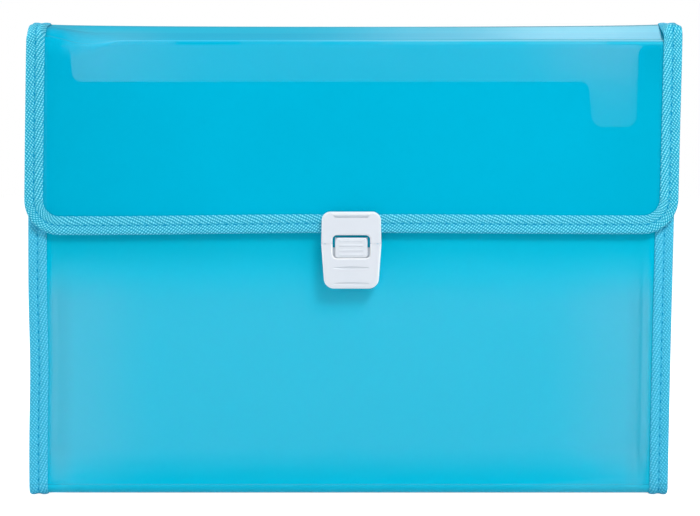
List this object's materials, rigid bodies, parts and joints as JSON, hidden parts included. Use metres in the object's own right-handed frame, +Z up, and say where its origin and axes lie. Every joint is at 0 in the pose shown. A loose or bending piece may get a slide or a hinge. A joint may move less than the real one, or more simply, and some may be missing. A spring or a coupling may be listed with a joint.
{
  "type": "expanding file case",
  "caption": "Expanding file case: creased cover with a hanging flap, woven edge tape, pleated gussets, tabbed dividers and a snap clasp with a push button.",
  "frame": {"origin": "middle of the footprint of the closed case, on the surface that it stands on", "axes": "+X along the flap towards the thumb notch, +Y from the flap to the back, +Z up"},
  "size_m": [0.335, 0.042, 0.243],
  "materials": {
    "cover_sheet": "translucent polypropylene sheet, satin",
    "divider_sheet": "frosted polypropylene sheet",
    "gusset_film": "thin translucent film",
    "binding_tape": "woven herringbone tape",
    "clasp_plastic": "moulded, glossy"
  },
  "bodies": {
    "case": {"cover_back_panel": "cover_sheet", "cover_bottom_panel": "cover_sheet", "back_binding_left": "binding_tape", "back_binding_right": "binding_tape", "bottom_binding_left": "binding_tape", "bottom_binding_right": "binding_tape"},
    "lid_top": {"cover_top_panel": "cover_sheet", "top_binding_left": "binding_tape", "top_binding_right": "binding_tape"},
    "flap": {"flap_panel": "cover_sheet", "flap_binding": "binding_tape", "clasp_upper_shell": "clasp_plastic", "clasp_upper_plate": "clasp_plastic", "clasp_upper_rivet_left": "clasp_plastic", "clasp_upper_rivet_right": "clasp_plastic"},
    "divider_4": {"divider_4": "divider_sheet", "gusset_left_5": "gusset_film", "gusset_right_5": "gusset_film"},
    "divider_3": {"divider_3": "divider_sheet", "gusset_left_4": "gusset_film", "gusset_right_4": "gusset_film"},
    "divider_2": {"divider_2": "divider_sheet", "gusset_left_3": "gusset_film", "gusset_right_3": "gusset_film"},
    "divider_1": {"divider_1": "divider_sheet", "gusset_left_2": "gusset_film", "gusset_right_2": "gusset_film"},
    "front": {"cover_front_panel": "cover_sheet", "front_binding_left": "binding_tape", "front_binding_right": "binding_tape", "clasp_lower_shell": "clasp_plastic", "clasp_lower_base": "clasp_plastic", "clasp_lower_plate": "clasp_plastic", "clasp_lower_rivet_left": "clasp_plastic", "clasp_lower_rivet_right": "clasp_plastic", "gusset_left_1": "gusset_film", "gusset_right_1": "gusset_film"},
    "button": {"clasp_release_button": "clasp_plastic"}
  },
  "joints": [
    {"name": "flap_lift", "type": "hinge", "parent": "case", "child": "lid_top", "pos_m": [0, 0.02095, 0.23885], "axis": [-1, 0, 0], "range_deg": [0, 180]},
    {"name": "flap_crease", "type": "hinge", "parent": "lid_top", "child": "flap", "pos_m": [0, -0.01645, 0.23105], "axis": [-1, 0, 0], "range_deg": [0, 90]},
    {"name": "pocket_5_opens", "type": "hinge", "parent": "case", "child": "divider_4", "pos_m": [0, -0.01305, 0.00615], "axis": [1, 0, 0], "range_deg": [0, 3], "deforming": ["gusset_left_5", "gusset_right_5"]},
    {"name": "pocket_4_opens", "type": "hinge", "parent": "divider_4", "child": "divider_3", "pos_m": [0, -0.01305, 0.00615], "axis": [1, 0, 0], "range_deg": [0, 3], "deforming": ["gusset_left_4", "gusset_right_4"]},
    {"name": "pocket_3_opens", "type": "hinge", "parent": "divider_3", "child": "divider_2", "pos_m": [0, -0.01305, 0.00615], "axis": [1, 0, 0], "range_deg": [0, 3], "deforming": ["gusset_left_3", "gusset_right_3"]},
    {"name": "pocket_2_opens", "type": "hinge", "parent": "divider_2", "child": "divider_1", "pos_m": [0, -0.01305, 0.00615], "axis": [1, 0, 0], "range_deg": [0, 3], "deforming": ["gusset_left_2", "gusset_right_2"]},
    {"name": "pocket_1_opens", "type": "hinge", "parent": "divider_1", "child": "front", "pos_m": [0, -0.01305, 0.00615], "axis": [1, 0, 0], "range_deg": [0, 3], "deforming": ["gusset_left_1", "gusset_right_1"]},
    {"name": "button_press", "type": "hinge", "parent": "front", "child": "button", "pos_m": [0, -0.01645, 0.10975], "axis": [-1, 0, 0], "range_deg": [0, 6.5], "stiffness_Nm_per_rad": 0.3}
  ],
  "couplings": [
    {"joint": "flap_crease", "follows": "flap_lift", "ratio": 0.5},
    {"joint": "pocket_5_opens", "follows": "flap_lift", "ratio": 0.016667},
    {"joint": "pocket_4_opens", "follows": "flap_lift", "ratio": 0.016667},
    {"joint": "pocket_3_opens", "follows": "flap_lift", "ratio": 0.016667},
    {"joint": "pocket_2_opens", "follows": "flap_lift", "ratio": 0.016667},
    {"joint": "pocket_1_opens", "follows": "flap_lift", "ratio": 0.016667}
  ]
}
